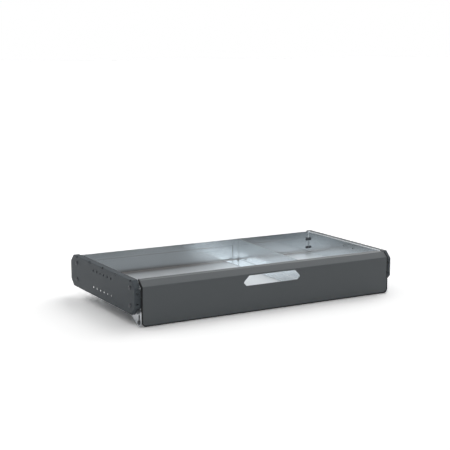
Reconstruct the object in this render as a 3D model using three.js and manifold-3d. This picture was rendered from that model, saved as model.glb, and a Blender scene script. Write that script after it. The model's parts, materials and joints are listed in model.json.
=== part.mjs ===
// Drop-front shelf: a folded sheet tray between two end plates, with a front panel that lifts and drops.
// Millimetres. x runs across the shelf, y from front to back, z up from the tips of the hinge brackets.
// The panel lifts along the slots of the hinge brackets, then turns forward on its two pivot screws.

import * as THREE from 'three';
import { mergeVertices } from 'three/addons/utils/BufferGeometryUtils.js';
import Module from 'manifold-3d';

const wasm = await Module();
wasm.setup();

// Whole shelf
const shelfWidth = 857;
const shelfDepth = 450;
const seat = 0.3;
const overrun = 6;

// Facets of round stretches
const bendSteps = 3;
const holeSides = 12;
const screwSides = 14;
const domeSteps = 3;

// End plates
const plateHeight = 94.5;
const plateRise = 31;
const plateSheet = 1.5;
const plateFlange = 18;
const plateBend = 3;
const plateChamfer = 20;
const reliefWidth = 1.2;
const reliefReach = 4;
const notchRadius = 4;
const notchFirst = 28.5;
const notchRearInset = 48.7;
const notchCount = 5;
const rowHoleRadius = 3.5;
const rowFirst = 154.3;
const rowPitch = 25;
const rowCount = 6;
const rowLowerRise = 25;
const rowUpperDrop = 20.5;
const faceHoleRadius = 2.5;
const faceHoleInset = 8.5;
const faceHoleLowerRise = 32;
const faceHoleUpperDrop = 34.5;
const windowInset = 7;
const windowHeight = 19.5;
const windowReach = 4;

// Tray
const traySheet = 1.2;
const trayBend = 2.2;
const trayFront = 40;
const trayFloorRise = 26.8;
const trayRearInset = 37.3;
const trayLipDrop = 17.8;
const trayReturn = 12;
const trayEdgeGap = 0.7;
const joggleDrop = 21.2;
const joggleDepth = 1.5;
const wallFront = 27;
const wallBaseFlange = 20;
const wallRearFlange = 19.4;
const wallFlangeRise = 4.2;
const wallHoleRadius = 2.5;
const wallHoleDrop = 16.5;
const wallHoleFirst = 164;
const wallHolePitch = 49;
const cornerHoleRadius = 1.6;
const cornerHoleDrop = 13.3;
const cornerHoleFall = 6;
const cornerHoleInset = 12;
const cornerHoleStep = 8.5;

// Divider
const dividerPlace = 133;
const dividerFront = 50;
const dividerDrop = 1.5;
const dividerSlope = 6.5;
const dividerFlange = 20;
const dividerBase = 54.5;
const dividerRearRelief = 12.7;
const dividerCollarRadius = 3.5;
const dividerCollarHeight = 1.5;
const dividerScrewInset = 12;
const dividerScrewPlace = 14;

// Front panel and its trim
const frontLead = 7.3;
const panelSheet = 1.5;
const panelBend = 3;
const panelDrop = 0.5;
const panelFacetRise = 15;
const panelFacetRun = 18.3;
const panelFlange = 24;
const panelReturn = 8;
const panelSideGap = 1.2;
const panelMitre = 3;
const trimFoot = 1.2;
const trimWall = 1.2;
const trimBand = 4.5;
const trimStop = 3.5;
const trimCorner = 12.5;
const handHoleDrop = 3.5;
const handHoleHeight = 29;
const handHoleTipDrop = 19;
const handHoleTopWidth = 154;
const handHoleFlare = 18.5;
const handHoleTuck = 10;
const handHoleCorner = 4;

// Hinge brackets and rear brackets
const bracketWidth = 15.2;
const bracketSheet = 2.5;
const bracketBend = 4;
const bracketDepth = 60;
const bracketMargin = 10;
const bracketCorner = 6;
const webMargin = 2;
const gussetGap = 0.5;
const gussetDepth = 74;
const gussetHeelY = 36;
const gussetHeelZ = 13.8;
const gussetFootRise = 5;
const gussetBrowRise = 11;
const gussetHeelRadius = 30;
const gussetCorner = 4;
const tipRadius = 9;
const bossRadius = 5.5;
const bossLength = 4;
const standoffRadius = 4;
const standoffLength = 3.8;
const rearBracketDepth = 30;
const rearBracketWidth = 38.7;

// Pivots and the panel's hinge ears
const pivotY = 3;
const pivotZ = 12.5;
const pivotTravel = 18;
const pivotRadius = 2.5;
const pivotHeadRadius = 6;
const pivotHeadHeight = 4;
const pivotTip = 1;
const bushWall = 1;
const bushCollar = 3.5;
const bushCollarRadius = 6;
const nutAcrossFlats = 8;
const nutHeight = 4;
const earFoot = 12.5;
const earLobeFoot = 4.5;
const earTop = 40;
const earBack = 18;
const earLegFront = 1.5;
const earHeelRadius = 10;
const earCorner = 5;
const earFlange = 27.4;

// Screws
const plateScrewRadius = 3;
const plateScrewHeadRadius = 6.3;
const plateScrewHeadHeight = 3;
const wallScrewRadius = 2.5;
const wallScrewHeadRadius = 4.8;
const wallScrewHeadHeight = 2.6;
const wallScrewUpperDrop = 5.1;
const wallScrewLowerRise = 14.4;
const wallScrewInset = 6.2;
const wallScrewSetback = 18;
const baseScrewRadius = 2;
const baseScrewHeadRadius = 3.8;
const baseScrewHeadHeight = 2.2;
const screwTip = 0.3;
const headRimShare = 0.3;
const socketRadiusShare = 0.36;
const socketDepthShare = 0.62;

// Planes worked out from the sizes above; x values are distances from the shelf's middle
const plateFace = shelfWidth / 2;
const plateInside = plateFace - plateSheet;
const plateRim = plateFace - plateFlange;
const plateTop = plateRise + plateHeight;
const windowTop = plateRise + windowHeight;
const columnHeights = { lower: plateRise + rowLowerRise, upper: plateTop - rowUpperDrop };
const frontColumn = notchFirst;
const rearColumn = shelfDepth - notchRearInset;
const notchPitch = (rearColumn - frontColumn) / (notchCount - 1);
const bracketOutside = plateInside - seat;
const bracketInside = bracketOutside - bracketSheet;
const gussetInside = bracketOutside - bracketWidth;
const gussetOutside = gussetInside + bracketSheet;
const wallOutside = gussetInside - seat - standoffLength;
const wallInside = wallOutside - traySheet;
const trayHalf = wallInside - trayEdgeGap;
const trayFloor = plateRise + trayFloorRise;
const trayUnderside = trayFloor - traySheet;
const trayBack = shelfDepth - trayRearInset;
const joggleHeight = plateTop - joggleDrop;
const wallRear = trayBack + traySheet + seat + traySheet;
const wallUnderside = trayUnderside - seat - traySheet;
const wallFlangeFoot = trayFloor + wallFlangeRise;
const wallFlangeTop = joggleHeight - traySheet;
const wallScrewPlace = wallInside - wallScrewInset;
const wallScrewHeights = { lower: trayFloor + wallScrewLowerRise, upper: joggleHeight - wallScrewUpperDrop };
const frontScrewY = wallFront + wallScrewSetback;
const dividerRear = trayBack - joggleDepth - seat;
const dividerBaseEnd = trayBack - dividerRearRelief;
const dividerRearTop = plateTop - dividerDrop;
const dividerFrontTop = dividerRearTop - dividerSlope;
const frontHalf = gussetInside - gussetGap;
const panelHalf = frontHalf - trimWall - seat;
const panelFoot = trimFoot + trimWall + seat;
const panelCorner = trimCorner - trimWall - seat;
const panelBackY = panelSheet - frontLead;
const panelTop = plateTop - panelDrop;
const panelKink = panelTop - panelFacetRise;
const facetEndY = panelFacetRun - frontLead;
const flangeEndY = facetEndY + panelFlange;
const webFront = plateSheet + seat;
const webFoot = plateRise + plateChamfer + webMargin;
const webTop = plateTop - plateChamfer - webMargin;
const bracketFoot = plateRise + bracketMargin;
const bracketTop = plateTop - bracketMargin;
const rearLegBack = wallRear + seat + bracketSheet;
const earOutside = gussetInside - seat - bushCollar - seat;
const earInside = earOutside - bracketSheet;
const earFront = panelBackY + seat;
const windowEnd = gussetDepth + windowReach;
const plateBore = plateScrewRadius + seat;
const wallBore = wallScrewRadius + seat;
const baseBore = baseScrewRadius + seat;
const pivotBore = pivotRadius + seat;
const bushRadius = pivotBore + bushWall;
const slotRadius = bushRadius + seat;

// Outlines are lists of points; a corner is [u, v, radius]
function asVector([u, v]) {
  return new THREE.Vector2(u, v);
}

function arc(centre, radius, from, to, steps = bendSteps) {
  return Array.from({ length: steps + 1 }, (unused, i) => {
    const angle = from + ((to - from) * i) / steps;
    return new THREE.Vector2(centre.x + radius * Math.cos(angle), centre.y + radius * Math.sin(angle));
  });
}

function filletAt(before, corner, after, radius) {
  const back = before.clone().sub(corner).normalize();
  const ahead = after.clone().sub(corner).normalize();
  const halfAngle = Math.acos(back.dot(ahead)) / 2;
  const bisector = back.clone().add(ahead).normalize();
  const centre = corner.clone().addScaledVector(bisector, radius / Math.sin(halfAngle));
  const start = corner.clone().addScaledVector(back, radius / Math.tan(halfAngle)).sub(centre);
  const turn = (Math.PI - 2 * halfAngle) * Math.sign(ahead.cross(back));
  return arc(centre, radius, start.angle(), start.angle() + turn);
}

function rounded(corners, closed = true) {
  const count = corners.length;
  return corners.flatMap((entry, i) => {
    const [, , radius = 0] = entry;
    const corner = asVector(entry);
    const isEnd = !closed && (i === 0 || i === count - 1);
    if (isEnd || radius === 0) {
      return [corner];
    }
    const before = asVector(corners[(i + count - 1) % count]);
    const after = asVector(corners[(i + 1) % count]);
    return filletAt(before, corner, after, radius);
  });
}

function circle(u, v, radius, sides = holeSides) {
  return arc(new THREE.Vector2(u, v), radius, 0, (2 * Math.PI * (sides - 1)) / sides, sides - 1);
}

function rectangle(u0, v0, u1, v1) {
  return rounded([[u0, v0], [u1, v0], [u1, v1], [u0, v1]]);
}

// A path moved sideways with mitred corners; positive goes to the right of the direction of travel
function offset(path, distance) {
  const right = (from, to) => {
    const run = to.clone().sub(from).normalize();
    return new THREE.Vector2(run.y, -run.x);
  };
  return path.map((point, i) => {
    const before = right(path[Math.max(i - 1, 0)], path[Math.max(i, 1)]);
    const last = path.length - 1;
    const after = right(path[Math.min(i, last - 1)], path[Math.min(i + 1, last)]);
    const mitre = before.add(after);
    return point.clone().addScaledVector(mitre, (2 * distance) / mitre.lengthSq());
  });
}

// The section of a folded sheet between two offsets of one path
function sheetSection(path, from, to) {
  return [...offset(path, from), ...offset(path, to).reverse()];
}

// Closed geometries become solids for joining and cutting
function solid(geometry) {
  const bare = geometry.clone();
  bare.deleteAttribute('normal');
  bare.deleteAttribute('uv');
  const merged = mergeVertices(bare);
  const corners = merged.getIndex().array;
  const triVerts = [];
  for (let i = 0; i < corners.length; i += 3) {
    const [a, b, c] = corners.slice(i, i + 3);
    if (a !== b && b !== c && c !== a) {
      triVerts.push(a, b, c);
    }
  }
  return new wasm.Manifold(
    new wasm.Mesh({
      numProp: 3,
      vertProperties: new Float32Array(merged.getAttribute('position').array),
      triVerts: new Uint32Array(triVerts),
    }),
  );
}

function surface(body) {
  const { vertProperties, triVerts } = body.getMesh();
  const geometry = new THREE.BufferGeometry();
  geometry.setAttribute('position', new THREE.BufferAttribute(vertProperties.slice(), 3));
  geometry.setIndex(new THREE.BufferAttribute(triVerts.slice(), 1));
  geometry.computeVertexNormals();
  return geometry;
}

function mirrored(geometry) {
  const copy = geometry.clone().scale(-1, 1, 1);
  const index = copy.getIndex();
  for (let i = 0; i < index.count; i += 3) {
    const second = index.getX(i + 1);
    index.setX(i + 1, index.getX(i + 2));
    index.setX(i + 2, second);
  }
  copy.computeVertexNormals();
  return copy;
}

// Prisms of an outline along each axis: outlines are (y, z) for x, (x, z) for y and (x, y) for z
const acrossX = new THREE.Matrix4().set(0, 0, 1, 0, 1, 0, 0, 0, 0, 1, 0, 0, 0, 0, 0, 1);
const acrossY = new THREE.Matrix4().set(1, 0, 0, 0, 0, 0, -1, 0, 0, 1, 0, 0, 0, 0, 0, 1);

function prism(outline, length) {
  return new THREE.ExtrudeGeometry(new THREE.Shape(outline), { depth: length, bevelEnabled: false });
}

function prismX(outline, from, to) {
  return solid(prism(outline, to - from).applyMatrix4(acrossX).translate(from, 0, 0));
}

function prismY(outline, from, to) {
  return solid(prism(outline, to - from).applyMatrix4(acrossY).translate(0, to, 0));
}

function prismZ(outline, from, to) {
  return solid(prism(outline, to - from).translate(0, 0, from));
}

function block(x0, x1, y0, y1, z0, z1) {
  return prismZ(rectangle(x0, y0, x1, y1), z0, z1);
}

function joined(solids) {
  return solids.reduce((whole, piece) => whole.add(piece));
}

function cut(body, tools) {
  return tools.reduce((rest, tool) => rest.subtract(tool), body);
}

// End plate: a shallow pan whose outer bends are round, here the left one

function plateOutline(inset) {
  const chamfer = plateChamfer - inset * (2 - Math.SQRT2);
  const front = inset;
  const back = shelfDepth - inset;
  const foot = plateRise + inset;
  const top = plateTop - inset;
  return rounded([
    [front + chamfer, foot],
    [back - chamfer, foot],
    [back, foot + chamfer],
    [back, top - chamfer],
    [back - chamfer, top],
    [front + chamfer, top],
    [front, top - chamfer],
    [front, foot + chamfer],
  ]);
}

function panBlank(outline, bend, faceX, length) {
  const shape = new THREE.Shape(outline);
  const blank = new THREE.ExtrudeGeometry(shape, {
    depth: length,
    bevelThickness: bend,
    bevelSize: bend,
    bevelOffset: -bend,
    bevelSegments: bendSteps,
  });
  return solid(blank.applyMatrix4(acrossX).translate(faceX + bend, 0, 0));
}

function plateReliefs() {
  const corners = plateOutline(0);
  const rim = plateFlange + overrun;
  return corners.map((corner, i) => {
    const before = corners[(i + corners.length - 1) % corners.length];
    const after = corners[(i + 1) % corners.length];
    const inward = before.clone().sub(corner).normalize();
    inward.add(after.clone().sub(corner).normalize()).normalize();
    const side = new THREE.Vector2(-inward.y, inward.x).multiplyScalar(reliefWidth / 2);
    const ends = [-reliefReach, reliefReach].map((reach) => corner.clone().addScaledVector(inward, reach));
    const slot = [
      ends[0].clone().sub(side),
      ends[1].clone().sub(side),
      ends[1].clone().add(side),
      ends[0].clone().add(side),
    ];
    return prismX(slot, plateBend + reliefWidth - plateFace, rim - plateFace);
  });
}

function plateNotches() {
  const places = Array.from({ length: notchCount }, (unused, i) => notchFirst + notchPitch * i);
  return places.flatMap((y) =>
    [plateRise, plateTop].map((z) => {
      const inwardZ = Math.sign(plateRise + plateHeight / 2 - z);
      const drill = new THREE.CylinderGeometry(notchRadius, notchRadius, 2 * plateFlange, holeSides);
      drill.rotateX(Math.PI / 2).rotateY((Math.PI / 4) * inwardZ);
      return solid(drill.translate(-plateFace, y, z));
    }),
  );
}

function plateHoles() {
  const rowPlaces = Array.from({ length: rowCount }, (unused, i) => rowFirst + rowPitch * i);
  const from = -plateFace - overrun;
  const to = overrun - plateFace;
  return Object.values(columnHeights).flatMap((z) => [
    ...rowPlaces.map((y) => prismX(circle(y, z, rowHoleRadius), from, to)),
    ...[frontColumn, rearColumn].map((y) => prismX(circle(y, z, plateBore), from, to)),
  ]);
}

function faceHoles(from, to) {
  return [plateRise + faceHoleLowerRise, plateTop - faceHoleUpperDrop].map((z) =>
    prismY(circle(faceHoleInset - plateFace, z, faceHoleRadius), from, to),
  );
}

function endPlate() {
  const outer = panBlank(plateOutline(0), plateBend, -plateFace, plateFlange + overrun);
  const innerBend = plateBend - plateSheet;
  const inner = panBlank(plateOutline(plateSheet), innerBend, -plateInside, plateFlange + 2 * overrun);
  const beyondRim = block(
    -plateRim, overrun * 3 - plateRim, -overrun, shelfDepth + overrun, 0, plateTop + overrun,
  );
  const gussetWindow = block(
    -plateRim - windowInset, overrun - plateRim, -overrun, windowEnd, plateRise - overrun, windowTop,
  );
  return cut(outer, [
    inner, beyondRim, gussetWindow, ...plateReliefs(), ...plateNotches(), ...plateHoles(),
    ...faceHoles(-overrun, plateSheet + seat),
  ]);
}

// Tray pan: one sheet from the return under the front lip to the top of the back wall

function trayPan() {
  const path = rounded([
    [trayFront + trayReturn, trayFloor - trayLipDrop],
    [trayFront, trayFloor - trayLipDrop, trayBend],
    [trayFront, trayFloor, trayBend],
    [trayBack, trayFloor, trayBend - traySheet],
    [trayBack, joggleHeight, trayBend - traySheet],
    [trayBack - joggleDepth, joggleHeight + joggleDepth, trayBend],
    [trayBack - joggleDepth, plateTop],
  ], false);
  const sheet = prismX(sheetSection(path, 0, traySheet), -trayHalf, trayHalf);
  const screwHoles = [-wallScrewPlace, wallScrewPlace].flatMap((x) =>
    Object.values(wallScrewHeights).map((z) => rearBore(x, z, wallBore)),
  );
  const smallHoleX = wallInside - cornerHoleInset;
  const smallHoleZ = joggleHeight - cornerHoleDrop;
  const smallHoles = [-1, 1].flatMap((side) => [
    rearBore(side * smallHoleX, smallHoleZ, cornerHoleRadius),
    rearBore(side * (smallHoleX + cornerHoleStep), smallHoleZ - cornerHoleFall, cornerHoleRadius),
  ]);
  const baseHoles = dividerScrewPlaces().map(([x, y]) =>
    prismZ(circle(x, y, baseBore), trayUnderside - overrun, trayFloor + overrun),
  );
  return cut(sheet, [...screwHoles, ...smallHoles, ...baseHoles]);
}

function rearBore(x, z, radius) {
  return prismY(circle(x, z, radius), trayBack - overrun, rearLegBack + bossLength + overrun);
}

// End wall of the tray, here the left one: base flange under the floor, lip on the end plate's rim,
// flange behind the back wall

function trayWall() {
  const section = rounded([
    [wallBaseFlange - wallOutside, wallUnderside],
    [-wallOutside, wallUnderside, trayBend],
    [-wallOutside, plateTop - traySheet, trayBend - traySheet],
    [seat - plateRim, plateTop - traySheet],
  ], false);
  const main = prismY(sheetSection(section, 0, traySheet), wallFront, wallRear);
  const frontRelief = block(
    -wallInside, overrun + wallBaseFlange - wallOutside, 0, trayFront + trayReturn + seat,
    wallUnderside - overrun, trayFloor,
  );
  const bendRelief = block(
    -wallOutside - overrun, overrun - wallOutside, wallRear - trayBend, wallRear + overrun,
    wallFlangeFoot, wallFlangeTop,
  );
  const plan = rounded([
    [-wallOutside, wallRear - 2 * trayBend],
    [-wallOutside, wallRear, trayBend],
    [wallRearFlange - wallOutside, wallRear],
  ], false);
  const rearFlange = prismZ(sheetSection(plan, 0, traySheet), wallFlangeFoot, wallFlangeTop);
  const slotHoles = [wallHoleFirst, wallHoleFirst + wallHolePitch].map((y) =>
    prismX(circle(y, plateTop - wallHoleDrop, wallHoleRadius), -wallOutside - overrun, overrun - wallInside),
  );
  const screwHoles = Object.values(wallScrewHeights).flatMap((z) => [
    prismX(circle(frontScrewY, z, wallBore), -wallOutside - overrun, overrun - wallInside),
    rearBore(-wallScrewPlace, z, wallBore),
  ]);
  return cut(cut(main, [frontRelief, bendRelief]).add(rearFlange), [...slotHoles, ...screwHoles]);
}

// Divider: blade with a base flange and a rear flange, both turned left

function dividerScrewPlaces() {
  const x = dividerPlace - dividerScrewPlace;
  return [dividerFront + dividerScrewInset, dividerBaseEnd - dividerScrewInset].map((y) => [x, y]);
}

function divider() {
  const foot = trayFloor + seat;
  const rear = dividerRear;
  const section = rounded([
    [dividerPlace - dividerBase, foot + traySheet],
    [dividerPlace, foot + traySheet, trayBend - traySheet],
    [dividerPlace, dividerRearTop + overrun],
  ], false);
  const plan = rounded([
    [dividerPlace, dividerBaseEnd - trayBend],
    [dividerPlace, rear - traySheet, trayBend - traySheet],
    [dividerPlace - dividerFlange, rear - traySheet],
  ], false);
  const blade = prismY(sheetSection(section, 0, traySheet), dividerFront, dividerBaseEnd);
  const back = prismZ(sheetSection(plan, 0, traySheet), foot + trayBend, dividerRearTop + overrun);
  const sideView = rounded([
    [dividerFront - overrun, foot - overrun],
    [rear + overrun, foot - overrun],
    [rear + overrun, dividerRearTop],
    [rear, dividerRearTop],
    [dividerFront, dividerFrontTop],
    [dividerFront - overrun, dividerFrontTop],
  ]);
  const stock = dividerBase + overrun;
  const trimmed = blade.add(back).intersect(prismX(sideView, dividerPlace - stock, dividerPlace + stock));
  const aboveFlange = block(
    dividerPlace - stock, dividerPlace - trayBend, rear - overrun, rear + overrun,
    dividerFrontTop, dividerRearTop + overrun,
  );
  const collars = dividerScrewPlaces().map(([x, y]) =>
    prismZ(circle(x, y, dividerCollarRadius), foot, foot + traySheet + dividerCollarHeight),
  );
  const bores = dividerScrewPlaces().map(([x, y]) =>
    prismZ(circle(x, y, baseBore), foot - overrun, foot + overrun),
  );
  return cut(joined([cut(trimmed, [aboveFlange]), ...collars]), bores);
}

// Front panel: upright face, facet, top flange and a return, with a hand hole

const panelFacePath = rounded([
  [-frontLead, panelFoot],
  [-frontLead, panelKink, panelBend],
  [facetEndY, panelTop, panelBend],
  [flangeEndY, panelTop, panelBend],
  [flangeEndY, panelTop - panelReturn],
], false);

function frontView(half, foot, corner, top) {
  return rounded([[-half, foot, corner], [half, foot, corner], [half, top], [-half, top]]);
}

function handHoleOutline() {
  const topHalf = handHoleTopWidth / 2;
  const tipHalf = topHalf + handHoleFlare;
  const footHalf = tipHalf - handHoleTuck;
  const top = panelKink - handHoleDrop;
  const tip = top - handHoleTipDrop;
  const foot = top - handHoleHeight;
  return rounded([
    [-topHalf, top, handHoleCorner],
    [-tipHalf, tip, handHoleCorner],
    [-footHalf, foot, handHoleCorner],
    [footHalf, foot, handHoleCorner],
    [tipHalf, tip, handHoleCorner],
    [topHalf, top, handHoleCorner],
  ]);
}

function frontPanel() {
  const from = -frontLead - overrun;
  const to = flangeEndY + overrun;
  const outline = frontView(panelHalf, panelFoot, panelCorner, plateTop);
  const folded = prismX(sheetSection(panelFacePath, 0, panelSheet), -panelHalf, panelHalf);
  const shaped = folded.intersect(prismY(outline, from, to));
  const flangeHalf = wallInside - panelSideGap;
  const flangeEnd = [
    [flangeHalf, facetEndY],
    [flangeHalf - panelMitre, flangeEndY],
    [flangeHalf - panelMitre, to],
    [panelHalf + overrun, to],
    [panelHalf + overrun, facetEndY],
  ];
  const flangeEnds = [-1, 1].map((side) =>
    prismZ(
      flangeEnd.map(([x, y]) => asVector([side * x, y])),
      panelTop - panelReturn - overrun, plateTop + overrun,
    ),
  );
  return cut(shaped, [...flangeEnds, prismY(handHoleOutline(), from, facetEndY)]);
}

// Trim: a channel of rubber round the panel's sides and lower edge

function frontTrim() {
  const from = -frontLead - overrun;
  const to = facetEndY + overrun;
  const wrap = trimWall + seat;
  const top = panelTop - trimStop;
  const face = rounded([
    [-frontLead, trimFoot - overrun],
    [-frontLead, panelKink, panelBend],
    [facetEndY, panelTop],
  ], false);
  const outer = prismX(sheetSection(face, -wrap, panelSheet + wrap), -frontHalf, frontHalf)
    .intersect(prismY(frontView(frontHalf, trimFoot, trimCorner, top), from, to));
  const slotHalf = panelHalf + seat;
  const slot = prismX(sheetSection(face, -seat, panelSheet + seat), -slotHalf, slotHalf)
    .intersect(prismY(frontView(slotHalf, panelFoot - seat, panelCorner + seat, plateTop), from, to));
  const openHalf = frontHalf - trimBand;
  const opening = prismY(
    frontView(openHalf, trimFoot + trimBand, trimCorner - trimBand, plateTop), from, to,
  );
  return cut(outer, [slot, opening]);
}

// Hinge bracket, here the left one: a channel inside the end plate whose inner flange runs down
// past the plate as a slotted gusset

function gussetOutline() {
  const tip = new THREE.Vector2(pivotY, tipRadius);
  const heel = new THREE.Vector2(gussetHeelY, gussetHeelZ).sub(tip);
  const tangent = heel.angle() - Math.acos(tipRadius / heel.length());
  const bend = webFront + bracketBend;
  return [
    ...arc(tip, tipRadius, -Math.PI, -Math.PI / 2),
    ...arc(tip, tipRadius, -Math.PI / 2, tangent).slice(1),
    ...rounded([
      [pivotY, 0],
      [gussetHeelY, gussetHeelZ, gussetHeelRadius],
      [gussetDepth, plateRise + gussetFootRise, gussetCorner],
      [gussetDepth, webTop, bracketCorner],
      [bend, webTop],
      [bend, webFoot],
      [pivotY - tipRadius, plateRise + gussetBrowRise],
    ]).slice(1),
  ];
}

function bracketFlangeOutline() {
  const bend = webFront + bracketBend;
  const slope = webFoot - bracketFoot;
  return rounded([
    [bend, webFoot],
    [bend + slope, bracketFoot],
    [bracketDepth, bracketFoot, bracketCorner],
    [bracketDepth, bracketTop, bracketCorner],
    [bend + slope, bracketTop],
    [bend, webTop],
  ]);
}

function slotOutline() {
  const low = new THREE.Vector2(pivotY, pivotZ);
  const high = new THREE.Vector2(pivotY, pivotZ + pivotTravel);
  const steps = 2 * bendSteps;
  return [...arc(low, slotRadius, -Math.PI, 0, steps), ...arc(high, slotRadius, 0, Math.PI, steps)];
}

function columnBosses(y) {
  return Object.values(columnHeights).map((z) =>
    prismX(circle(y, z, bossRadius), -bracketInside - seat, bossLength - bracketInside),
  );
}

function columnBores(y) {
  return Object.values(columnHeights).map((z) =>
    prismX(circle(y, z, plateBore), -bracketOutside - overrun, bossLength - bracketInside + seat),
  );
}

function hingeBracket() {
  const plan = rounded([
    [-bracketOutside, bracketDepth],
    [-bracketOutside, webFront, bracketBend],
    [-gussetInside, webFront, bracketBend],
    [-gussetInside, bracketDepth],
  ], false);
  const channel = prismZ(sheetSection(plan, 0, -bracketSheet), webFoot, webTop);
  const flange = prismX(bracketFlangeOutline(), -bracketOutside, -bracketInside);
  const gusset = prismX(gussetOutline(), -gussetOutside, -gussetInside);
  const standoffs = Object.values(wallScrewHeights).map((z) =>
    prismX(circle(frontScrewY, z, standoffRadius), -gussetInside - seat, -wallOutside - seat),
  );
  const wallBores = Object.values(wallScrewHeights).map((z) =>
    prismX(circle(frontScrewY, z, wallBore), -gussetOutside - seat, overrun - wallOutside),
  );
  const slot = prismX(slotOutline(), -gussetOutside - overrun, overrun - gussetInside);
  return cut(joined([channel, flange, gusset, ...columnBosses(frontColumn), ...standoffs]), [
    slot, ...wallBores, ...columnBores(frontColumn), ...faceHoles(0, webFront + bracketSheet + seat),
  ]);
}

// Rear bracket, here the left one: an angle behind the tray's back corner

function rearBracket() {
  const plan = rounded([
    [-bracketOutside, rearLegBack - rearBracketDepth],
    [-bracketOutside, rearLegBack, bracketBend],
    [rearBracketWidth - bracketOutside, rearLegBack],
  ], false);
  const angle = prismZ(sheetSection(plan, 0, bracketSheet), wallFlangeFoot, wallFlangeTop);
  const leg = prismX(rounded([
    [rearLegBack - rearBracketDepth, bracketFoot, bracketCorner],
    [rearLegBack - bracketBend, bracketFoot, bracketCorner],
    [rearLegBack - bracketBend, bracketTop, bracketCorner],
    [rearLegBack - rearBracketDepth, bracketTop, bracketCorner],
  ]), -bracketOutside, -bracketInside);
  const bosses = Object.values(wallScrewHeights).map((z) =>
    prismY(circle(-wallScrewPlace, z, standoffRadius), rearLegBack - seat, rearLegBack + bossLength),
  );
  const bores = Object.values(wallScrewHeights).map((z) => rearBore(-wallScrewPlace, z, wallBore));
  return cut(joined([angle, leg, ...bosses, ...columnBosses(rearColumn)]), [
    ...bores, ...columnBores(rearColumn),
  ]);
}

// Hinge ear, here the left one: an angle on the panel's back that turns on the pivot screw

function hingeEar() {
  const plan = rounded([
    [-earOutside, pivotY],
    [-earOutside, earFront, bracketBend],
    [earFlange - earOutside, earFront],
  ], false);
  const angle = prismZ(sheetSection(plan, 0, -bracketSheet), earFoot, earTop);
  const leg = prismX(rounded([
    [-earLegFront, earLobeFoot],
    [earBack, earLobeFoot, earHeelRadius],
    [earBack, earTop, earCorner],
    [-earLegFront, earTop],
  ]), -earOutside, -earInside);
  const bore = prismX(circle(pivotY, pivotZ, pivotBore), -earOutside - overrun, overrun - earInside);
  return cut(angle.add(leg), [bore]);
}

// Fasteners stand on z with the underside of the head at zero

function screw(shankRadius, shankLength, headRadius, headHeight) {
  const rim = headHeight * headRimShare;
  const dome = Array.from({ length: domeSteps }, (unused, i) => {
    const angle = (Math.PI / 2) * (i / domeSteps);
    return new THREE.Vector2(headRadius * Math.cos(angle), rim + (headHeight - rim) * Math.sin(angle));
  });
  const profile = [
    new THREE.Vector2(0, -shankLength),
    new THREE.Vector2(shankRadius, -shankLength),
    new THREE.Vector2(shankRadius, 0),
    new THREE.Vector2(headRadius, 0),
    ...dome,
    new THREE.Vector2(0, headHeight),
  ];
  const body = solid(new THREE.LatheGeometry(profile, screwSides).rotateX(Math.PI / 2));
  const socketFloor = headHeight * (1 - socketDepthShare);
  const socket = prismZ(circle(0, 0, headRadius * socketRadiusShare, 6), socketFloor, headHeight + overrun);
  return surface(body.subtract(socket));
}

function pivotBush() {
  const length = bushCollar + seat + bracketSheet + seat;
  const profile = [
    [pivotBore, 0], [bushCollarRadius, 0], [bushCollarRadius, bushCollar], [bushRadius, bushCollar],
    [bushRadius, length], [pivotBore, length], [pivotBore, 0],
  ].map(asVector);
  return surface(solid(new THREE.LatheGeometry(profile, screwSides).rotateX(Math.PI / 2)));
}

function pivotNut() {
  const corner = nutAcrossFlats / 2 / Math.cos(Math.PI / 6);
  const nut = prismZ(circle(0, 0, corner, 6), 0, nutHeight);
  return surface(nut.subtract(prismZ(circle(0, 0, pivotBore), -overrun, nutHeight + overrun)));
}

// Materials: graphite powder coat, galvanised sheet, black rubber, dark and bright fasteners

const finishes = {
  platePaint: { color: 0x555a5e, roughness: 0.5, metalness: 0.1 },
  panelPaint: { color: 0x4e5255, roughness: 0.5, metalness: 0.1 },
  galvanised: { color: 0xb4bbc0, roughness: 0.25, metalness: 0.9 },
  rubber: { color: 0x1d1e20, roughness: 0.7, metalness: 0 },
  darkSteel: { color: 0x33373a, roughness: 0.4, metalness: 0.8 },
  zinc: { color: 0xa9afb3, roughness: 0.35, metalness: 0.9 },
  bushing: { color: 0x2b2d2f, roughness: 0.5, metalness: 0 },
};

function piece(name, geometry, finish) {
  const mesh = new THREE.Mesh(geometry, new THREE.MeshStandardMaterial(finishes[finish]));
  mesh.name = name;
  return mesh;
}

// Each handed piece is made once for the left side and mirrored for the right
const sides = { left: -1, right: 1 };

function pair(name, body, finish) {
  const left = surface(body);
  const geometries = { left, right: mirrored(left) };
  return Object.keys(sides).map((side) => piece(`${side}_${name}`, geometries[side], finish));
}

// Turned pieces lie along x with their heads outboard or inboard
function sidewaysPair(name, geometry, finish, distance, y, z, outboard = 1) {
  return Object.entries(sides).map(([side, sign]) => {
    const mesh = piece(`${side}_${name}`, geometry, finish);
    mesh.position.set(sign * distance, y, z);
    mesh.rotation.y = (Math.PI / 2) * sign * outboard;
    return mesh;
  });
}

function plateScrews() {
  const length = plateFace + seat - bracketInside + bossLength + screwTip;
  const geometry = screw(plateScrewRadius, length, plateScrewHeadRadius, plateScrewHeadHeight);
  const columns = { front: frontColumn, rear: rearColumn };
  return Object.entries(columns).flatMap(([end, y]) =>
    Object.entries(columnHeights).flatMap(([level, z]) =>
      sidewaysPair(`${end}_${level}_plate_screw`, geometry, 'darkSteel', plateFace + seat, y, z),
    ),
  );
}

function frontWallScrews() {
  const length = gussetOutside - wallInside;
  const geometry = screw(wallScrewRadius, length, wallScrewHeadRadius, wallScrewHeadHeight);
  return Object.entries(wallScrewHeights).flatMap(([level, z]) =>
    sidewaysPair(`front_${level}_wall_screw`, geometry, 'darkSteel', wallInside - seat, frontScrewY, z, -1),
  );
}

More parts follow.
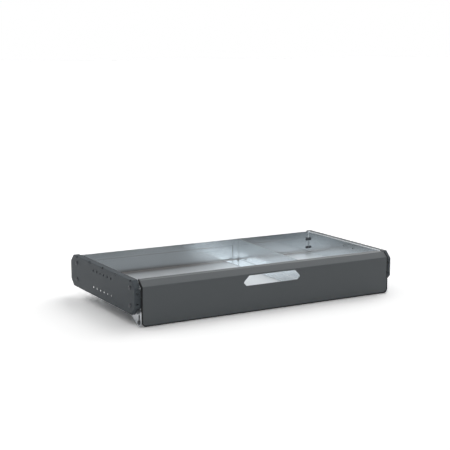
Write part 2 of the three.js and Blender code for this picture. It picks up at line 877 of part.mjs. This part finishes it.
function rearWallScrews() {
  const length = rearLegBack + bossLength + screwTip - trayBack + seat;
  const geometry = screw(wallScrewRadius, length, wallScrewHeadRadius, wallScrewHeadHeight);
  return Object.entries(wallScrewHeights).flatMap(([level, z]) =>
    Object.entries(sides).map(([side, sign]) => {
      const mesh = piece(`${side}_rear_${level}_wall_screw`, geometry, 'darkSteel');
      mesh.position.set(sign * wallScrewPlace, trayBack - seat, z);
      mesh.rotation.x = Math.PI / 2;
      return mesh;
    }),
  );
}

function dividerScrews() {
  const length = traySheet * 2 + seat * 2 + dividerCollarHeight;
  const geometry = screw(baseScrewRadius, length, baseScrewHeadRadius, baseScrewHeadHeight);
  return dividerScrewPlaces().map(([x, y], i) => {
    const mesh = piece(`divider_${['front', 'rear'][i]}_screw`, geometry, 'zinc');
    mesh.position.set(x, y, trayUnderside - seat);
    mesh.rotation.x = Math.PI;
    return mesh;
  });
}

function pivots() {
  const headSeat = gussetOutside + seat + seat;
  const nutSeat = earInside - seat;
  const length = headSeat - nutSeat + nutHeight + pivotTip;
  const bolt = screw(pivotRadius, length, pivotHeadRadius, pivotHeadHeight);
  return [
    ...sidewaysPair('pivot_screw', bolt, 'darkSteel', headSeat, pivotY, pivotZ),
    ...sidewaysPair('pivot_bush', pivotBush(), 'bushing', earOutside + seat, pivotY, pivotZ),
    ...sidewaysPair('pivot_nut', pivotNut(), 'zinc', nutSeat, pivotY, pivotZ, -1),
  ];
}

// The three bodies: the fixed shelf, the pivots that slide in the slots, and the front that turns on them

const carcass = new THREE.Group();
carcass.add(
  ...pair('end_plate', endPlate(), 'platePaint'),
  piece('tray_pan', surface(trayPan()), 'galvanised'),
  ...pair('tray_wall', trayWall(), 'galvanised'),
  piece('divider', surface(divider()), 'galvanised'),
  ...pair('hinge_bracket', hingeBracket(), 'galvanised'),
  ...pair('rear_bracket', rearBracket(), 'galvanised'),
  ...plateScrews(),
  ...frontWallScrews(),
  ...rearWallScrews(),
  ...dividerScrews(),
);

const slidingPivots = new THREE.Group();
slidingPivots.add(...pivots());

const dropFront = new THREE.Group();
dropFront.add(
  piece('front_panel', surface(frontPanel()), 'panelPaint'),
  piece('front_trim', surface(frontTrim()), 'rubber'),
  ...pair('hinge_ear', hingeEar(), 'panelPaint'),
);

// The origin is the middle of the shelf's base
const frontmost = -frontLead - trimWall - seat;
const shelf = new THREE.Group();
shelf.name = 'drop_front_shelf';
shelf.add(carcass, slidingPivots, dropFront);
shelf.position.y = -(frontmost + shelfDepth) / 2;

export default shelf;
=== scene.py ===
"""Looks of the drop-front shelf: graphite powder coat, galvanised tray, rubber trim and fasteners."""

import json
import math

import bpy
import numpy as np
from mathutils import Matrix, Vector


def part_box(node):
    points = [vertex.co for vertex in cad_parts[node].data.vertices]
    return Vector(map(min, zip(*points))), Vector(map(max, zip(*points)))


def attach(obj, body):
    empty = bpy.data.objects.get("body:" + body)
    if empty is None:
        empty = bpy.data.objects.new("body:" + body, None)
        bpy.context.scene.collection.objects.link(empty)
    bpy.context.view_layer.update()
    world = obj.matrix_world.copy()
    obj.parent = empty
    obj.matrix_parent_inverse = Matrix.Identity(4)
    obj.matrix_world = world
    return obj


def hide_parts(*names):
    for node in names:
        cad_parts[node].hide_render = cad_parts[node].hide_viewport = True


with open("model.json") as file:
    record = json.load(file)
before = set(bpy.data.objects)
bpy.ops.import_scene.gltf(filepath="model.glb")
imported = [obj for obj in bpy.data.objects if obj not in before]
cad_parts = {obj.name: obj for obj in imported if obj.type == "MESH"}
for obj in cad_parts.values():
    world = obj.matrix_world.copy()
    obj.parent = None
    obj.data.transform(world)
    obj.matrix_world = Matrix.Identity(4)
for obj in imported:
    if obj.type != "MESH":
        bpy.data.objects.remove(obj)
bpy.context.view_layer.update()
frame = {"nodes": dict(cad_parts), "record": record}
nodes = frame["nodes"]
scene = bpy.context.scene
MM = 0.001


# Camera, at the photograph's own place

AIM = Vector((-37.14, -20.6, 216.19)) * MM
AZIMUTH = math.radians(-29.727)
ELEVATION = math.radians(9.747)
DISTANCE = 3257.9 * MM
SENSOR = 36
FOCAL_PIXELS, PHOTO_PIXELS = 1097.22, 450
NEAR, FAR = 0.05, 60


def make_camera():
    """The camera stands DISTANCE from AIM, turned by AZIMUTH round z and raised by ELEVATION."""
    back = Vector((
        math.sin(AZIMUTH) * math.cos(ELEVATION),
        -math.cos(AZIMUTH) * math.cos(ELEVATION),
        math.sin(ELEVATION),
    ))
    data = bpy.data.cameras.new("camera")
    data.lens, data.sensor_width = FOCAL_PIXELS / PHOTO_PIXELS * SENSOR, SENSOR
    data.clip_start, data.clip_end = NEAR, FAR
    camera = bpy.data.objects.new("camera", data)
    camera.location = AIM + back * DISTANCE
    camera.rotation_euler = (-back).to_track_quat("-Z", "Y").to_euler()
    scene.collection.objects.link(camera)
    scene.camera = camera


# Materials


class Field:
    """A socket of a node tree. Sums and products of fields and numbers add Math nodes to it."""

    def __init__(self, tree, socket=None):
        self.tree = tree
        self.socket = socket

    def make(self, kind, settings, inputs, output=0):
        """Adds one node: its settings first, then each socket's value or field."""
        node = self.tree.nodes.new(kind)
        for name, value in settings.items():
            setattr(node, name, value)
        for key, value in inputs.items():
            if isinstance(value, Field):
                self.tree.links.new(value.socket, node.inputs[key])
            else:
                node.inputs[key].default_value = value
        return Field(self.tree, None if output is None else node.outputs[output])

    def math(self, operation, first, second):
        return self.make("ShaderNodeMath", {"operation": operation}, {0: first, 1: second})

    def __add__(self, other):
        return self.math("ADD", self, other)

    def __rsub__(self, other):
        return self.math("SUBTRACT", other, self)

    def __mul__(self, other):
        return self.math("MULTIPLY", self, other)

    def above(self, edge, width):
        """Nought below the edge and one beyond edge plus width, with a smooth rise between."""
        return self.make(
            "ShaderNodeMapRange",
            {"interpolation_type": "SMOOTHSTEP"},
            {"Value": self, "From Min": edge, "From Max": edge + width},
        )

    def blend(self, low, high):
        """The colour between two colour sockets that this share picks."""
        ends = {0: self, 6: low, 7: high}
        return self.make("ShaderNodeMix", {"data_type": "RGBA"}, ends, output=2)

    def tint(self, low, high):
        """The colour between two plain colours that this share picks."""
        return self.blend((*low, 1), (*high, 1))


def surface(name):
    """A new material and a field on its empty tree."""
    material = bpy.data.materials.new(name)
    material.use_nodes = True
    material.node_tree.nodes.clear()
    return material, Field(material.node_tree)


def place(field):
    """Object coordinates, in metres."""
    return field.make("ShaderNodeTexCoord", {}, {}, output="Object")


def part_of(field, vector, axis):
    """One coordinate of a vector."""
    return field.make("ShaderNodeSeparateXYZ", {}, {"Vector": vector}, output=axis)


def noise(field, where, scale, detail, roughness=0.5):
    """Even noise between nought and one, with this many cells a metre."""
    return field.make(
        "ShaderNodeTexNoise",
        {},
        {"Vector": where, "Scale": scale, "Detail": detail, "Roughness": roughness},
    )


def bump(field, height, strength, depth):
    return field.make(
        "ShaderNodeBump", {}, {"Height": height, "Strength": strength, "Distance": depth * MM}
    )


def finish(field, shader, kind="ShaderNodeOutputMaterial"):
    """The output of a tree takes its surface from this shader."""
    field.make(kind, {}, {"Surface": shader}, output=None)


def powder_coat(name, pale, deep, gloss):
    """Powder coat: fine orange peel about 1 mm across, faint mottling, a slightly uneven satin."""
    peel_scale, mottle_scale, speck_scale = 850, 14, 2600
    mottled, speckled = 0.75, 0.25
    satin, uneven, dimpled = 0.38, 0.10, 0.06
    material, field = surface(name)
    here = place(field)
    peel = noise(field, here, peel_scale, detail=3.0)
    mottle = noise(field, here, mottle_scale, detail=4.0, roughness=0.6)
    speck = noise(field, here, speck_scale, detail=1.0)
    shader = field.make("ShaderNodeBsdfPrincipled", {}, {
        "Base Color": (mottle * mottled + speck * speckled).tint(deep, pale),
        "Roughness": mottle * uneven + peel * dimpled + satin,
        "Specular IOR Level": gloss,
        "Normal": bump(field, peel + speck * 0.3, strength=0.35, depth=0.05),
    })
    finish(field, shader)
    return material


FLOOR_TOP = 57.8 * MM
WALL_FOOT = 187.7 * MM
# Painted shade on the tray's floor along the foot of the back wall: how far forward it starts and how
# far its darkening rises.
FOOT_SHADE_WIDTH, FOOT_SHADE_RISE = 45 * MM, 50 * MM


def scuffs_and_painted_shade(field, here):
    """Shares on the tray. One is wear on the floor's upper face, where tools and boxes scuff the zinc
    dull, and one is painted shade: that face is painted darker along the foot of the back wall, where
    the wall shades it."""
    scuffed = 1 - part_of(field, here, "Z").above(FLOOR_TOP, 1 * MM)
    painted_shade = scuffed * part_of(field, here, "Y").above(WALL_FOOT - FOOT_SHADE_WIDTH, FOOT_SHADE_RISE)
    return scuffed, painted_shade


def galvanised(name, bright, dull, rough, foot_shade_colour=None):
    """Galvanised sheet: a blurred mirror with faint clouds, fainter spangle grains and fine rolling
    lines."""
    spangle_scale, cloud_scale, rolling_scale = 90.0, 6, (6, 900, 900)
    clouded, spangled = 0.75, 0.25
    uneven, grained = 0.04, 0.02
    scuff_rough, scuff_dull = 0.16, 0.50
    material, field = surface(name)
    here = place(field)
    cells = {"Vector": here, "Scale": spangle_scale}
    spangle = field.make("ShaderNodeTexVoronoi", {"feature": "F1"}, cells, output="Color")
    grain = field.make("ShaderNodeSeparateColor", {}, {"Color": spangle}, output="Red")
    rolled = field.make("ShaderNodeMapping", {}, {"Vector": place(field), "Scale": rolling_scale})
    lines = noise(field, rolled, 1.0, detail=3.0)
    cloud = noise(field, here, cloud_scale, detail=3.0)
    colour = (grain * spangled + cloud * clouded).tint(dull, bright)
    roughness = grain * grained + cloud * uneven + rough
    metal = 1.0
    if foot_shade_colour:
        scuffed, painted_shade = scuffs_and_painted_shade(field, here)
        # Painted shade: the floor's upper face is painted darker towards the foot of the back wall.
        colour = painted_shade.blend(colour, (*foot_shade_colour, 1))
        roughness = roughness + scuffed * scuff_rough
        metal = 1 - scuffed * scuff_dull
    shader = field.make("ShaderNodeBsdfPrincipled", {}, {
        "Base Color": colour,
        "Metallic": metal,
        "Roughness": roughness,
        "Normal": bump(field, lines, strength=0.03, depth=0.02),
    })
    finish(field, shader)
    return material


def rubber(name, colour):
    """Extruded rubber: nearly black and matt, with fine dust-like mottling."""
    grain_scale, mottle_scale = 1400, 60
    deepest, palest = 0.8, 1.3
    matt, grained = 0.5, 0.1
    material, field = surface(name)
    here = place(field)
    grain = noise(field, here, grain_scale, detail=2.0)
    mottle = noise(field, here, mottle_scale, detail=3.0)
    shader = field.make("ShaderNodeBsdfPrincipled", {}, {
        "Base Color": mottle.tint([c * deepest for c in colour], [c * palest for c in colour]),
        "Roughness": grain * grained + matt,
        "Specular IOR Level": 0.4,
        "Normal": bump(field, grain, strength=0.3, depth=0.03),
    })
    finish(field, shader)
    return material


def plated(name, low, high, rough):
    """Plated steel: cloudy passivation and a fine tumbled grain."""
    cloud_scale, grain_scale = 220, 3000
    clouded = 0.12
    material, field = surface(name)
    here = place(field)
    cloud = noise(field, here, cloud_scale, detail=3.0)
    grain = noise(field, here, grain_scale, detail=1.0)
    shader = field.make("ShaderNodeBsdfPrincipled", {}, {
        "Base Color": cloud.tint(low, high),
        "Metallic": 1.0,
        "Roughness": cloud * clouded + rough,
        "Normal": bump(field, grain, strength=0.15, depth=0.02),
    })
    finish(field, shader)
    return material


def moulded(name, colour):
    """Moulded plastic: black, satin, with a faint drawn grain."""
    grain_scale = 1800
    deepest, palest = 0.85, 1.2
    satin, grained = 0.42, 0.1
    material, field = surface(name)
    grain = noise(field, place(field), grain_scale, detail=2.0)
    shader = field.make("ShaderNodeBsdfPrincipled", {}, {
        "Base Color": grain.tint([c * deepest for c in colour], [c * palest for c in colour]),
        "Roughness": grain * grained + satin,
        "Normal": bump(field, grain, strength=0.2, depth=0.02),
    })
    finish(field, shader)
    return material


FINISHES = {
    # The end plates and the front panel wear the same graphite powder coat. Their two colours are lit
    # and shaded copies of it: the front panel's is painted lighter and the end plates' darker, as
    # painted light and shade for how the light falls on the front and on the sides.
    "end_plate_paint": powder_coat(
        "end_plate_paint", (0.096, 0.112, 0.124), (0.087, 0.102, 0.114), gloss=0.15
    ),
    "front_paint": powder_coat(
        "front_paint", (0.134, 0.148, 0.156), (0.124, 0.138, 0.146), gloss=0.40
    ),
    # The tray's floor is painted darker along the foot of the back wall, as painted shade.
    "galvanised_sheet": galvanised(
        "galvanised_sheet", (0.735, 0.775, 0.80), (0.68, 0.715, 0.74), rough=0.16,
        foot_shade_colour=(0.36, 0.335, 0.33)
    ),
    "galvanised_plate": galvanised(
        "galvanised_plate", (0.62, 0.64, 0.66), (0.54, 0.56, 0.59), rough=0.30
    ),
    "trim_rubber": rubber("trim_rubber", (0.012, 0.013, 0.014)),
    "dark_screw": plated("dark_screw", (0.07, 0.075, 0.085), (0.16, 0.165, 0.175), rough=0.30),
    "zinc_fastener": plated("zinc_fastener", (0.52, 0.54, 0.57), (0.68, 0.69, 0.70), rough=0.26),
    "bush_plastic": moulded("bush_plastic", (0.02, 0.02, 0.022)),
}
SLOTS = {part["node"]: part["material_slot"] for part in frame["record"]["subparts"]}


def dress_nodes():
    """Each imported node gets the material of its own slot."""
    for name, node in nodes.items():
        for holder in node.material_slots:
            holder.material = FINISHES[SLOTS[name]]


# Pieces worked out as grids

SHARP_ANGLE = math.radians(32)


def grid_faces(rows, columns):
    """Quads of a grid closed round its columns, whose vertex (i, j) is number i * columns + j."""
    i, j = np.meshgrid(np.arange(rows - 1), np.arange(columns), indexing="ij")
    after = (j + 1) % columns
    here, above = i * columns, (i + 1) * columns
    quads = np.stack([here + j, here + after, above + after, above + j], -1)
    return quads.reshape(-1, 4).tolist()


def add_piece(name, vertices, faces, body, replaced):
    """Puts a finished mesh into the scene at the origin. It rides on its body in place of the named
    node, and takes the material of that node's slot."""
    slot = SLOTS[replaced]
    mesh = bpy.data.meshes.new(name)
    mesh.from_pydata(vertices.tolist(), [], faces)
    mesh.materials.append(FINISHES[slot])
    mesh.shade_smooth()
    mesh.set_sharp_from_angle(angle=SHARP_ANGLE)
    piece = bpy.data.objects.new(name, mesh)
    scene.collection.objects.link(piece)
    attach(piece, body)
    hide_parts(replaced)


def turned(profile, base, axis, sides=48):
    """A turned piece: row i is a circle of radius profile[i, 0] at height profile[i, 1] along the
    axis, drawn out towards a hexagon of the same flats by the share profile[i, 2]. Both ends close on
    a centre."""
    profile = np.asarray(profile, float)
    angle = np.arange(sides) * 2 * math.pi / sides
    flat = math.pi / 3
    hexagon = 1 / np.cos((angle + flat / 2) % flat - flat / 2)
    radius = profile[:, :1] * (1 + profile[:, 2:] * (hexagon - 1))
    base, axis = np.array(base, float), np.array(axis, float)
    upright = abs(axis[2]) > abs(axis[0]) + abs(axis[1])
    across = np.cross(axis, (1, 0, 0) if upright else (0, 0, 1))
    across = across / np.linalg.norm(across)
    along = np.cross(axis, across)
    points = (
        base
        + (radius * np.cos(angle))[..., None] * across
        + (radius * np.sin(angle))[..., None] * along
        + profile[:, 1:2, None] * axis
    ).reshape(-1, 3)
    ends = base + profile[[0, -1], 1:2] * axis
    count = len(points)
    ring = np.arange(sides)
    after = (ring + 1) % sides
    top = count - sides
    first = np.stack([np.full(sides, count), after, ring], -1)
    last = np.stack([np.full(sides, count + 1), top + ring, top + after], -1)
    faces = [*grid_faces(len(profile), sides), *first.tolist(), *last.tolist()]
    return np.vstack([points, ends]) * MM, faces


# Screws. A head's rim and its socket's floor are shares of its height, and the socket's half width
# over flats is a share of the head's radius. The socket's rows are shares of that half width.
RIM_SHARE, FLOOR_SHARE, SOCKET_SHARE = 0.3, 0.38, 0.34
SOCKET_ROW_SHARES = (1.3, 1.24, 1.06, 0.9, 0.3)
TIP_BEVEL, HEAD_BEVEL, FILLET = 0.49, 0.175, 0.2
MOUTH_DEPTH, THROAT_DEPTH, ROOT_RISE, POINT_DEPTH = 0.12, 0.4, 0.1, 0.25
DOME_ROWS = 7

# The axis that each kind of screw lies along, and its shank radius, head radius and head height in mm
SCREWS = {
    "plate_screw": ("x", 3.0, 6.3, 3.0),
    "front_lower_wall_screw": ("x", 2.5, 4.8, 2.6),
    "front_upper_wall_screw": ("x", 2.5, 4.8, 2.6),
    "rear_lower_wall_screw": ("y", 2.5, 4.8, 2.6),
    "rear_upper_wall_screw": ("y", 2.5, 4.8, 2.6),
    "divider_front_screw": ("z", 2.0, 3.8, 2.2),
    "divider_rear_screw": ("z", 2.0, 3.8, 2.2),
    "pivot_screw": ("x", 2.5, 6.0, 4.0),
}


def screw_profile(shank, length, head, height):
    """Button head with a hexagon socket: the shank up from its bevelled tip, the flat underside, the
    domed head, then down the socket."""
    rim, floor, socket = height * RIM_SHARE, height * FLOOR_SHARE, head * SOCKET_SHARE
    crown, mouth, throat, root, point = (socket * share for share in SOCKET_ROW_SHARES)
    turn = np.linspace(0, math.pi / 2, DOME_ROWS + 2)[1:-1]
    dome = [
        (crown + (head - crown) * math.cos(t), rim + (height - rim) * math.sin(t), 0) for t in turn
    ]
    return [
        (shank - TIP_BEVEL, -length, 0),
        (shank, TIP_BEVEL - length, 0),
        (shank, -FILLET, 0),
        (shank + FILLET, 0, 0),
        (head - HEAD_BEVEL, 0, 0),
        (head, HEAD_BEVEL, 0),
        (head, rim, 0),
        *dome,
        (mouth, height, 0),
        (throat, height - MOUTH_DEPTH, 1),
        (socket, height - THROAT_DEPTH, 1),
        (socket, floor + ROOT_RISE, 1),
        (root, floor, 1),
        (point, floor - POINT_DEPTH, 0),
    ]


def head_direction(name, axis):
    """The way a screw's head faces: forward or down. Along x it is outboard, but inboard where the
    screw holds an end wall."""
    if axis != "x":
        return -1
    outboard = -1 if name.startswith("left") else 1
    return -outboard if "wall" in name else outboard


def add_screws():
    """A finer screw stands in for each packed one, with its tip and the top of its head at the node's
    ends."""
    for name in nodes:
        kind = next((ending for ending in SCREWS if name.endswith(ending)), None)
        if kind is None:
            continue
        axis, shank, head, height = SCREWS[kind]
        along = "xyz".index(axis)
        low, high = (np.array(corner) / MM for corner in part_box(name))
        direction = np.zeros(3)
        direction[along] = head_direction(name, axis)
        length = (high - low)[along]
        base = (low + high) / 2 + direction * (length / 2 - height)
        profile = screw_profile(shank, length - height, head, height)
        body = "hinge_pivots" if kind == "pivot_screw" else "shelf"
        add_piece(f"{name}_turned", *turned(profile, base, direction), body, name)


# The panel's trim and the pivots, in mm. SHELF_FRONT is where the end plates' front edges lie.

SHELF_FRONT = -220.6
PANEL_LEAD = 7.3
FACET_FOOT, FACET_RUN, FACET_RISE = 110.0, 18.3, 15.0
PIVOT_Y, PIVOT_Z = SHELF_FRONT + 3.0, 12.5
BUSH_PLACE, NUT_PLACE = 407.7, 400.6

TRIM_HALF, TRIM_FOOT, TRIM_CORNER = 411.0, 1.2, 12.5
TRIM_RISE, TRIM_KNEE = 22.0, 1.2
TRIM_WALL, TRIM_FACE, TRIM_REAR = 1.2, -1.5, 3.0
FRONT_BAND, REAR_BAND = 3.0, 4.5
LIP, LIP_FOOT, LIP_FULL, LIP_TAPER = 3.9, 30.0, 42.0, 1.0
CORNER_STEPS = 8


def section_sweep(path, inward, backward, sections):
    """A closed section carried along a path: the point (a, t) of a path point's own section lies a
    along inward and t along backward from that path point. The two ends are closed by flat caps."""
    points = (
        path[:, None, :]
        + sections[:, :, :1] * inward[:, None, :]
        + sections[:, :, 1:] * backward[:, None, :]
    )
    rows, columns = points.shape[:2]
    faces = grid_faces(rows, columns)
    faces += [list(range(columns))[::-1], list(range((rows - 1) * columns, rows * columns))]
    return points.reshape(-1, 3) * MM, [face[::-1] for face in faces]


def channel_section(reach):
    """The trim's channel, open along its deep side: outer corners rounded by quarter turns, the ends
    of its bands by half turns. The outer wall ends in a lip that stands out behind the channel by
    reach."""
    curl, step = 1.0, 0.05
    quarter = np.linspace(0, math.pi / 2, 5)
    half = np.linspace(0, math.pi, 7)
    radius = TRIM_WALL / 2
    front, rear = TRIM_FACE + radius, TRIM_REAR - radius
    bead, hem = FRONT_BAND - radius, REAR_BAND - radius
    near, far = TRIM_FACE + curl, TRIM_REAR - curl + reach
    outer_front = [(curl - curl * math.cos(q), near - curl * math.sin(q)) for q in quarter]
    front_end = [(bead + radius * math.sin(q), front - radius * math.cos(q)) for q in half]
    inner = [(TRIM_WALL, TRIM_FACE + TRIM_WALL), (TRIM_WALL, TRIM_REAR - TRIM_WALL)]
    rear_end = [(hem + radius * math.sin(q), rear - radius * math.cos(q)) for q in half]
    lip_root = [(curl + step, TRIM_REAR)]
    lip_end = [(curl - curl * math.sin(q), far + curl * math.cos(q)) for q in quarter]
    return np.array(outer_front + front_end + inner + rear_end + lip_root + lip_end)


def add_trim():
    """The trim runs down the panel's left edge, round the lower corners and up the right edge. Its
    upper ends lean back with the facet. Along the sides its outer wall runs on backward as a lip that
    closes the gap to the end plate: it grows from nothing over a short stretch above the pivots, and
    narrows up the facet."""
    front = SHELF_FRONT - PANEL_LEAD
    slant = math.hypot(FACET_RUN, FACET_RISE)
    lean_y, lean_z = FACET_RUN / slant, FACET_RISE / slant
    top = FACET_FOOT + lean_z * TRIM_RISE
    heights = (FACET_FOOT - TRIM_KNEE, LIP_FULL, LIP_FOOT, TRIM_FOOT + TRIM_CORNER)
    rows = [(front + lean_y * rise, FACET_FOOT + lean_z * rise) for rise in (TRIM_RISE, TRIM_KNEE)]
    rows += [(front, height) for height in heights]
    left = np.array([(-TRIM_HALF, y, z) for y, z in rows])
    left_back = np.array([(0.0, lean_z, -lean_y)] * 2 + [(0.0, 1.0, 0.0)] * len(heights))
    left_in = np.tile((1.0, 0.0, 0.0), (len(rows), 1))

    turn = np.linspace(0, math.pi / 2, CORNER_STEPS + 1)[1:]
    centre = np.array([TRIM_CORNER - TRIM_HALF, front, TRIM_FOOT + TRIM_CORNER])
    out = np.stack([-np.cos(turn), 0 * turn, -np.sin(turn)], -1)
    bend_back = np.tile((0.0, 1.0, 0.0), (CORNER_STEPS, 1))

    path = np.vstack([left, centre + TRIM_CORNER * out])
    inward = np.vstack([left_in, -out])
    backward = np.vstack([left_back, bend_back])
    mirror = np.array([-1.0, 1.0, 1.0])
    path, inward, backward = (
        np.vstack([side, (side * mirror)[::-1]]) for side in (path, inward, backward)
    )
    lip_heights, lip_widths = (LIP_FOOT, LIP_FULL, FACET_FOOT, top), (0, LIP, LIP, LIP - LIP_TAPER)
    reach = np.interp(path[:, 2], lip_heights, lip_widths)
    sections = np.stack([channel_section(r) for r in reach])
    swept = section_sweep(path, inward, backward, sections)
    add_piece("front_trim_extruded", *swept, "drop_front", "front_trim")


def bush_profile():
    """A flanged bush: its collar first, then the barrel that runs in the slot."""
    bore, barrel, collar = 2.8, 3.8, 6.0
    depth, length = 3.5, 6.6
    edge, brim = 0.3, 0.1
    rows = [
        (bore, edge), (bore + edge, 0), (collar - edge, 0), (collar, edge),
        (collar, depth - edge), (collar - edge, depth), (barrel, depth),
        (barrel, length - edge), (barrel - edge, length), (bore + brim, length),
        (bore, length - brim),
    ]
    return [(radius, height, 0) for radius, height in rows]


def nut_profile():
    """A hexagon nut: round and chamfered at both faces, six flats between."""
    bore, flat, height = 2.9, 4.0, 4.0
    countersink, chamfer, shoulder = 0.2, 0.35, 0.1
    return [
        (bore + countersink, 0, 0), (flat - shoulder, 0, 0), (flat, chamfer, 1),
        (flat, height - chamfer, 1), (flat - shoulder, height, 0), (bore + countersink, height, 0),
        (bore, height - countersink, 0),
    ]


def add_pivots():
    """Flanged bush and hexagon nut of each pivot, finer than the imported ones."""
    for side, sign in (("left", -1), ("right", 1)):
        for kind, profile, x in (("bush", bush_profile, BUSH_PLACE), ("nut", nut_profile, NUT_PLACE)):
            name = f"{side}_pivot_{kind}"
            shape = turned(profile(), (sign * x, PIVOT_Y, PIVOT_Z), (sign, 0, 0))
            add_piece(f"{name}_turned", *shape, "hinge_pivots", name)


# Stage: floor and sky

FLOOR_REACH = 30.0
FLOOR_PLAIN = 0.3
FLOOR_SEEN = 1.34
RIM = 1.0
HORIZON = 0.05
ZENITH = 0.9
SOFTBOXES = [
    # direction, strength, cosine of its edge, softness of its edge
    ((-0.48, -0.86, 0.17), 2.3, 0.905, 0.085),
    ((-0.25, 0.90, 0.357), 0.75, 0.86, 0.12),
    ((0.70, 0.45, 0.56), 2.4, 0.84, 0.13),
]


def ray_kind(field, name):
    """One for rays of this kind and nought for the rest."""
    return field.make("ShaderNodeLightPath", {}, {}, output=name)


def make_floor():
    """A wide plain floor. The camera, metal and glass see it brighter than it lights the shelf, so
    that it reads as white and keeps the shadow."""
    mesh = bpy.data.meshes.new("floor")
    signs = ((-1, -1), (1, -1), (1, 1), (-1, 1))
    corners = [(x * FLOOR_REACH, y * FLOOR_REACH, 0) for x, y in signs]
    mesh.from_pydata(corners, [], [(0, 1, 2, 3)])
    floor = bpy.data.objects.new("floor", mesh)
    scene.collection.objects.link(floor)
    material, field = surface("floor")
    seen = (
        ray_kind(field, "Is Camera Ray")
        + ray_kind(field, "Is Glossy Ray")
        + ray_kind(field, "Is Transmission Ray")
    )
    plain, white, more = (
        field.make("ShaderNodeBsdfDiffuse", {}, {"Color": (level, level, level, 1)})
        for level in (FLOOR_PLAIN, 1.0, FLOOR_SEEN - 1)
    )
    bright = field.make("ShaderNodeAddShader", {}, {0: white, 1: more})
    finish(field, field.make("ShaderNodeMixShader", {}, {0: seen, 1: plain, 2: bright}))
    mesh.materials.append(material)


def make_sky():
    """White for the camera. Every other ray gets a white rim at the horizon, a dim sky above it that
    grows brighter overhead, and large soft boxes."""
    rim_top, rim_fade = 0.02, 0.05
    overhead, overhead_rise = 0.50, 0.40
    world = bpy.data.worlds.new("studio")
    world.use_nodes = True
    world.node_tree.nodes.clear()
    scene.world = world
    field = Field(world.node_tree)
    way = field.make("ShaderNodeTexCoord", {}, {}, output="Generated")
    up = part_of(field, way, "Z")
    level = up.above(overhead, overhead_rise) * (ZENITH - HORIZON) + HORIZON
    level = level + up.above(rim_top, rim_fade) * (HORIZON - RIM) + (RIM - HORIZON)
    for direction, strength, edge, softness in SOFTBOXES:
        pair = {0: way, 1: Vector(direction).normalized()}
        dot = {"operation": "DOT_PRODUCT"}
        facing = field.make("ShaderNodeVectorMath", dot, pair, output="Value")
        level = level + facing.above(edge, softness) * strength
    light, white = (
        field.make("ShaderNodeBackground", {}, {"Color": (1, 1, 1, 1), "Strength": strength})
        for strength in (level, 1.0)
    )
    seen = ray_kind(field, "Is Camera Ray")
    shown = field.make("ShaderNodeMixShader", {}, {0: seen, 1: light, 2: white})
    finish(field, shown, "ShaderNodeOutputWorld")


make_camera()
make_floor()
make_sky()
dress_nodes()
add_screws()
add_pivots()
add_trim()

scene.view_settings.view_transform = "Standard"
